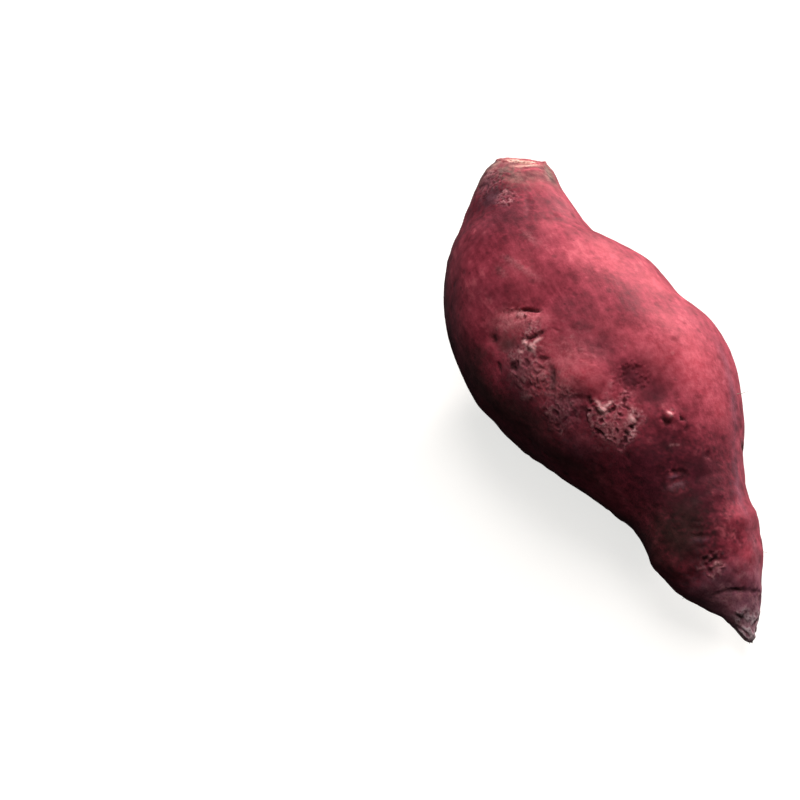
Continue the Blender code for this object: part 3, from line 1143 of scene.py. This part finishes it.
@dataclass
class Skin:
    """The whole root, made finer than its solid and marked as the photograph shows."""

    voxel: float = 0.8  # millimetres between its points
    detail_cuts: int = 2  # how often an edge is cut where there are fine marks
    fine_width: float = 1.1  # millimetres, the widest stroke that counts as fine
    fine_margin: float = 0.3  # millimetres that are cut finer beside a stroke
    fine_scar: float = 9.0  # millimetres round the middle of the snapped face
    neck_end: float = -67.0  # millimetres along the root
    tail_end: float = 88.0
    scar_middle: Triple = (-66.9, 5.9, 49.8)
    scar_direction: Triple = (-0.575, 0.282, 0.768)
    scar_radius: float = 7.0
    scar_open: Triple = (0.709, -0.295, 0.640)  # where its rim broke off
    flesh_shift: float = 3.3  # from the face's middle to its flesh's, towards the broken rim
    flesh_radius: float = 4.7
    eyes: RowEyes = field(default_factory=RowEyes)
    seed: int = 11
    dimples: int = 150
    dimple_along: Range = (-60.0, 78.0)  # millimetres along the root
    dimple_sizes: Range = (0.5, 0.9)
    dimple_depths: Range = (0.1, 0.4)
    weld: float = 0.001  # millimetres between corners that are one
    flat_angle: float = 40.0  # degrees, the most between triangles that are joined
    square_angle: float = 60.0  # degrees, the most that a joined face is off square
    rounding: int = 2  # how often the solid is rounded
    calming: int = 4
    finish: SkinFinish = field(default_factory=SkinFinish)

    def smooth_solid(self) -> Object:
        """Makes a smooth copy of the solid in quads.

        Returns:
            The copy, with a modifier that rounds it.
        """
        shape = bmesh.new()
        shape.from_mesh(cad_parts[NODE].data)
        bmesh.ops.remove_doubles(shape, verts=shape.verts, dist=self.weld * MM)
        bmesh.ops.join_triangles(
            shape,
            faces=shape.faces,
            angle_face_threshold=math.radians(self.flat_angle),
            angle_shape_threshold=math.radians(self.square_angle),
        )
        solid = shaped_object("smooth_solid", shape)
        rounder = solid.modifiers.new("rounder", "SUBSURF")
        rounder.levels = rounder.render_levels = self.rounding
        return solid

    def even_mesh(self) -> Mesh:
        """Makes a mesh with even faces on the smooth solid.

        Returns:
            The mesh.
        """
        solid = self.smooth_solid()
        maker = solid.copy()
        bpy.context.scene.collection.objects.link(maker)
        even = maker.modifiers.new("even", "REMESH")
        even.mode = "VOXEL"
        even.voxel_size = self.voxel * MM
        calm = maker.modifiers.new("calm", "SMOOTH")
        calm.factor = 0.5
        calm.iterations = self.calming
        hold = maker.modifiers.new("hold", "SHRINKWRAP")
        hold.target = solid
        graph = bpy.context.evaluated_depsgraph_get()
        made = bpy.data.meshes.new_from_object(maker.evaluated_get(graph))
        bpy.data.objects.remove(maker)
        bpy.data.objects.remove(solid)
        made.name = "skin"
        return made

    def fine_places(self, centres: Floats, surface: Surface) -> NDArray[np.bool_]:
        """Finds which faces carry marks that are finer than the even mesh.

        Args:
            centres: the faces' middles in millimetres.
            surface: finds the marks' places.

        Returns:
            True for each face that is to be cut finer.
        """
        wanted = np.linalg.norm(centres - np.array(self.scar_middle), axis=1) < self.fine_scar
        wanted |= centres[:, 0] > self.tail_end - 5
        for scab in SCAB_PATCHES:
            away = np.linalg.norm(centres - surface.seen(scab.middle), axis=1)
            wanted |= away < 0.95 * scab.reach
        for stroke in STROKES:
            if stroke.half_width > self.fine_width:
                continue
            line = np.array([surface.seen(pixel) for pixel in stroke.path])
            away = along_line(centres, line)[0]
            wanted |= away < 1.5 * stroke.half_width + self.fine_margin
        return wanted

    def cut_finer(self, mesh: Mesh, surface: Surface) -> None:
        """Cuts the mesh finer where there are fine marks.

        Args:
            mesh: the even mesh.
            surface: finds the marks' places.
        """
        shape = bmesh.new()
        shape.from_mesh(mesh)
        shape.faces.ensure_lookup_table()
        centres = np.array([face.calc_center_median() for face in shape.faces]) / MM
        numbers = np.nonzero(self.fine_places(centres, surface))[0]
        edges = {edge for number in numbers for edge in shape.faces[number].edges}
        made = bmesh.ops.subdivide_edges(
            shape, edges=list(edges), cuts=self.detail_cuts, use_grid_fill=True
        )["geom_inner"]
        smooth(shape, [item for item in made if isinstance(item, bmesh.types.BMVert)], 2)
        shape.to_mesh(mesh)
        shape.free()

    def shade_ends(self, shaping: Shaping) -> None:
        """Marks the grey cork of the neck and the dry skin of the tail."""
        points = shaping.points
        wander = 4.0 * grain_at(points, 9.0) + 2.5 * grain_at(points, 3.0, 5.0)
        x = points[:, 0]
        near_side = soft_step(8.0, -8.0, points[:, 1])
        neck = 1 - soft_step(self.neck_end + 2, self.neck_end + 9, x + wander)
        shaping.blend(Mark.CORK, ALL, neck * (0.30 + 0.65 * near_side))
        tail = soft_step(self.tail_end - 19, self.tail_end - 8, x + wander)
        shaping.blend(Mark.ASH, ALL, 0.85 * tail)
        streaks = soft_step(0.05, 0.5, grain_at(points * np.array([0.16, 1.0, 1.0]), 1.3))
        tip = soft_step(self.tail_end - 8.5, self.tail_end - 4, x + 0.4 * wander)
        frayed = soft_step(-0.2, 0.25, grain_at(points * np.array([0.2, 1.0, 1.0]), 1.0, 4.0))
        shaping.blend(Mark.HUSK, ALL, tip * (0.35 + 0.65 * frayed))
        shaping.blend(Mark.RUB, ALL, 0.45 * tail * streaks)
        shaping.lift += 0.4 * tip * (frayed - 0.5)

    def snap_neck(self, shaping: Shaping) -> None:
        """Makes the snapped face of the neck: torn pale flesh inside a pink, raised rim."""
        points = shaping.points
        facing = np.array(self.scar_direction)
        facing /= np.linalg.norm(facing)
        offset = points - np.array(self.scar_middle)
        above = offset @ facing
        aside = np.linalg.norm(offset - above[:, None] * facing, axis=1)
        share = aside / self.scar_radius * (1 + 0.10 * grain_at(points, 5.0))
        opened = np.array(self.scar_open)
        apart = offset - above[:, None] * facing - self.flesh_shift * opened
        apart = np.linalg.norm(apart, axis=1)
        near = soft_step(0.0, 5.0, offset @ opened)
        wander = 0.22 * grain_at(points, 3.5, 1.0) + 0.12 * grain_at(points, 1.2, 6.0)
        inner = apart / self.flesh_radius * (1 + wander)
        face = soft_step(-3.5, -1.5, above)
        flesh = face * (1 - soft_step(0.86, 0.98, inner))
        ring = face * np.exp(-(((inner - 0.62) / 0.06) ** 2))
        rim = soft_step(-3.5, -2.0, above) * np.exp(-(((share - 1.0) / 0.09) ** 2))
        torn = grain_at(points, 1.1, 7.0) + 0.5 * grain_at(points, 0.6, 2.0)
        shaping.blend(Mark.FLUSH, ALL, np.maximum(rim, 0.7 * face * (share < 1)))
        shaping.blend(Mark.FLESH, ALL, flesh)
        shaping.blend(Mark.EARTH, ALL, 0.3 * ring)
        shaping.blend(Mark.CORK, ALL, 0.5 * face * soft_step(0.1, 0.5, grain_at(points, 2.4, 8.0)))
        shaping.lift += flesh * (0.35 * torn - 0.4) + 0.3 * ring
        shaping.lift += rim * (0.4 + 0.4 * torn - 0.9 * near)

    def shade_sides(self, shaping: Shaping) -> None:
        """Paints shade: darkens the sides that face down and away from the light, in patches."""
        points = shaping.points
        low = soft_step(0.1, -0.8, shaping.outward @ np.array([0.0, 0.55, 0.83]))
        patchy = 0.6 + 0.4 * grain_at(points, 11.0, 2.0)
        shaping.blend(Mark.DUSK, ALL, 0.55 * low * patchy)

    def wrinkle(self, shaping: Shaping) -> None:
        """Adds fine lengthwise wrinkles, and crosswise ones towards the tail."""
        points = shaping.points
        x = points[:, 0]
        ends = soft_step(-35, -60, x) + soft_step(35, 70, x)
        lengthwise = grain_at(points * np.array([0.22, 1.0, 1.0]), 3.2)
        shaping.lift += (0.08 + 0.22 * ends) * lengthwise
        crosswise = grain_at(points * np.array([1.0, 0.25, 0.25]), 2.6, 9.0)
        shaping.lift += (0.04 + 0.24 * soft_step(30, 70, x)) * crosswise
        shaping.lift += 0.06 * grain_at(points, 1.9, 4.0)
        shaping.lift += 0.25 * grain_at(points, 8.0, 6.0)

    def photo_marks(self, shaping: Shaping, surface: Surface) -> None:
        """Adds what the photograph shows."""
        for patch in PATCHES:
            middle = surface.seen(patch.middle)[None, :]
            line = np.concatenate([middle, middle])
            shaping.draw(line, patch.reach * 0.7, patch.lift, patch.marks)
        for scab in SCAB_PATCHES:
            shaping.scab(surface.seen(scab.middle), scab)
        for stroke in STAINS + STROKES:
            line = np.array([surface.seen(pixel) for pixel in stroke.path])
            shaping.draw(line, stroke.half_width, stroke.lift, stroke.marks)

    def hidden_dimples(self, shaping: Shaping, surface: Surface, chance: random.Random) -> None:
        """Adds the small pits that fallen rootlets leave, all over, dark with soil and painted shade.
        """
        for _ in range(self.dimples):
            x = chance.uniform(*self.dimple_along)
            middle = surface.placed(x, chance.uniform(0, 360))[0]
            point = np.array(middle) / MM
            line = np.array([point, point])
            size = chance.uniform(*self.dimple_sizes)
            shaping.draw(line, size, -chance.uniform(*self.dimple_depths), {Mark.EARTH: 0.45})

    def build(self, camera: PhotoCamera) -> tuple[Object, Surface]:
        """Builds the skin.

        Args:
            camera: finds the marks that the photograph shows.

        Returns:
            The skin's object and the smooth surface under its marks.
        """
        mesh = self.even_mesh()
        surface = Surface(mesh, camera)
        self.cut_finer(mesh, surface)
        shaping = Shaping(mesh)
        self.wrinkle(shaping)
        self.shade_sides(shaping)
        self.eyes.draw(shaping, surface)
        self.hidden_dimples(shaping, surface, random.Random(self.seed))
        self.photo_marks(shaping, surface)
        self.shade_ends(shaping)
        self.snap_neck(shaping)
        shaping.finish()
        mesh.shade_smooth()
        mesh.materials.clear()
        mesh.materials.append(self.finish.material())
        skin = new_object("skin", mesh)
        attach(skin, BODY)
        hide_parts(NODE)
        return skin, surface


@dataclass(frozen=True)
class RootletFinish:
    """Dry root hair: dull brown-grey fibre that catches a pale edge."""

    base: str = "#6a4a44"
    tip: str = "#b09a90"
    roughness: float = 0.8
    streak: float = 0.5  # millimetres
    detail: float = 3.0

    def material(self) -> Material:
        """Makes the rootlets' material.

        Returns:
            The material.
        """
        material = bpy.data.materials.new("dry_root_hair")
        material.use_nodes = True
        tree = material.node_tree
        place = add_node(tree, "TexCoord").outputs["Object"]
        links = {"Vector": place, "Scale": 1 / (self.streak * MM), "Detail": self.detail}
        texture = add_node(tree, "TexNoise", links=links)
        ramp = add_node(tree, "ValToRGB", links={"Fac": texture.outputs["Fac"]})
        ramp.color_ramp.elements[0].color = linear(self.base)
        ramp.color_ramp.elements[1].color = linear(self.tip)
        shader = tree.nodes["Principled BSDF"]
        tree.links.new(ramp.outputs["Color"], shader.inputs["Base Color"])
        shader.inputs["Roughness"].default_value = self.roughness
        return material


@dataclass
class Rootlets:
    """The few dry root hairs that still stand on the skin, and the fibres of the tail's tip."""

    seed: int = 5
    sides: int = 6
    steps: int = 6
    seen_hairs: tuple[tuple[Pixel, float], ...] = (((737.0, 394.0), 3.4),)
    hidden_hairs: int = 16
    tail_fibres: int = 7
    seen_radius: float = 0.16  # millimetres
    buried: float = 0.8  # millimetres of a hair below the skin
    bend: float = 0.28
    taper: float = 0.8  # of a hair's width, kept at each step
    hair_clocks: Range = (225.0, 345.0)  # degrees round the root
    hair_along: Range = (-50.0, 70.0)  # millimetres
    hair_lowest: float = 6.0
    hair_lengths: Range = (1.5, 5.0)
    hair_radii: Range = (0.1, 0.2)
    fibre_lengths: Range = (0.8, 1.6)
    fibre_radius: float = 0.34
    fibre_lean: float = 0.35
    finish: RootletFinish = field(default_factory=RootletFinish)

    def hair(
        self,
        shape: BMesh,
        root: Vector,
        out: Vector,
        length: float,
        radius: float,
        chance: random.Random,
    ) -> None:
        """Adds one tapering, bending hair.

        Args:
            shape: the mesh that it is added to.
            root: where it leaves the skin, in metres.
            out: the direction in which it starts.
            length: its length in millimetres.
            radius: its radius at the root in millimetres.
            chance: bends it.
        """
        direction = out.normalized()
        turn = direction.to_track_quat("Z", "Y").to_matrix().to_4x4()
        start = root - direction * self.buried * MM
        ring = bmesh.ops.create_circle(
            shape,
            cap_ends=True,
            segments=self.sides,
            radius=radius * MM,
            matrix=Matrix.Translation(start) @ turn,
        )["verts"]
        edges = list({edge for vertex in ring for edge in vertex.link_edges})
        step = (length + self.buried) * MM / self.steps
        for number in range(self.steps):
            made = bmesh.ops.extrude_edge_only(shape, edges=edges)["geom"]
            ring = [item for item in made if isinstance(item, bmesh.types.BMVert)]
            edges = [item for item in made if isinstance(item, bmesh.types.BMEdge)]
            if number > 0:
                bend = Vector([chance.uniform(-self.bend, self.bend) for _ in range(3)])
                direction = (direction + bend).normalized()
            bmesh.ops.translate(shape, verts=ring, vec=direction * step)
            middle = sum((vertex.co for vertex in ring), Vector()) / len(ring)
            space = Matrix.Translation(-middle)
            bmesh.ops.scale(shape, vec=(self.taper,) * 3, space=space, verts=ring)
        bmesh.ops.contextual_create(shape, geom=edges)

    def build(self, camera: PhotoCamera, surface: Surface) -> Object:
        """Builds the hairs as one piece.

        Args:
            camera: finds the hair that the photograph shows.
            surface: the skin that they stand on.

        Returns:
            Their object.
        """
        chance = random.Random(self.seed)
        shape = bmesh.new()
        for pixel, length in self.seen_hairs:
            point = Vector(surface.seen(pixel)) * MM
            self.hair(shape, point, camera.right, length, self.seen_radius, chance)
        for _ in range(self.hidden_hairs):
            clock = chance.uniform(*self.hair_clocks)
            point, out = surface.placed(chance.uniform(*self.hair_along), clock)
            if point.z < self.hair_lowest * MM:
                continue
            length = chance.uniform(*self.hair_lengths)
            self.hair(shape, point, out, length, chance.uniform(*self.hair_radii), chance)
        tip = surface.points[np.argmax(surface.points[:, 0])]
        for _ in range(self.tail_fibres):
            aside = Vector((0.0, chance.uniform(-0.9, 0.9), chance.uniform(-0.7, 0.9)))
            start = (Vector(tip) - Vector((1.2, 0.0, 0.0)) + aside) * MM
            direction = Vector((1.0, aside.y * self.fibre_lean, aside.z * self.fibre_lean))
            length = chance.uniform(*self.fibre_lengths)
            self.hair(shape, start, direction, length, self.fibre_radius, chance)
        bmesh.ops.recalc_face_normals(shape, faces=shape.faces)
        rootlets = shaped_object("rootlets", shape)
        rootlets.data.shade_smooth()
        rootlets.data.materials.append(self.finish.material())
        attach(rootlets, BODY)
        return rootlets


def main() -> None:
    """Builds the camera, the studio, the skin and the rootlets, and reports each piece."""
    logging.basicConfig(level=logging.INFO, format="%(name)s: %(message)s")
    camera = PhotoCamera()
    camera.build()
    Studio().build(camera)
    skin, surface = Skin().build(camera)
    log.info("skin: %d faces", len(skin.data.polygons))
    rootlets = Rootlets().build(camera, surface)
    log.info("rootlets: %d faces", len(rootlets.data.polygons))


if __name__ == "__main__":
    main()
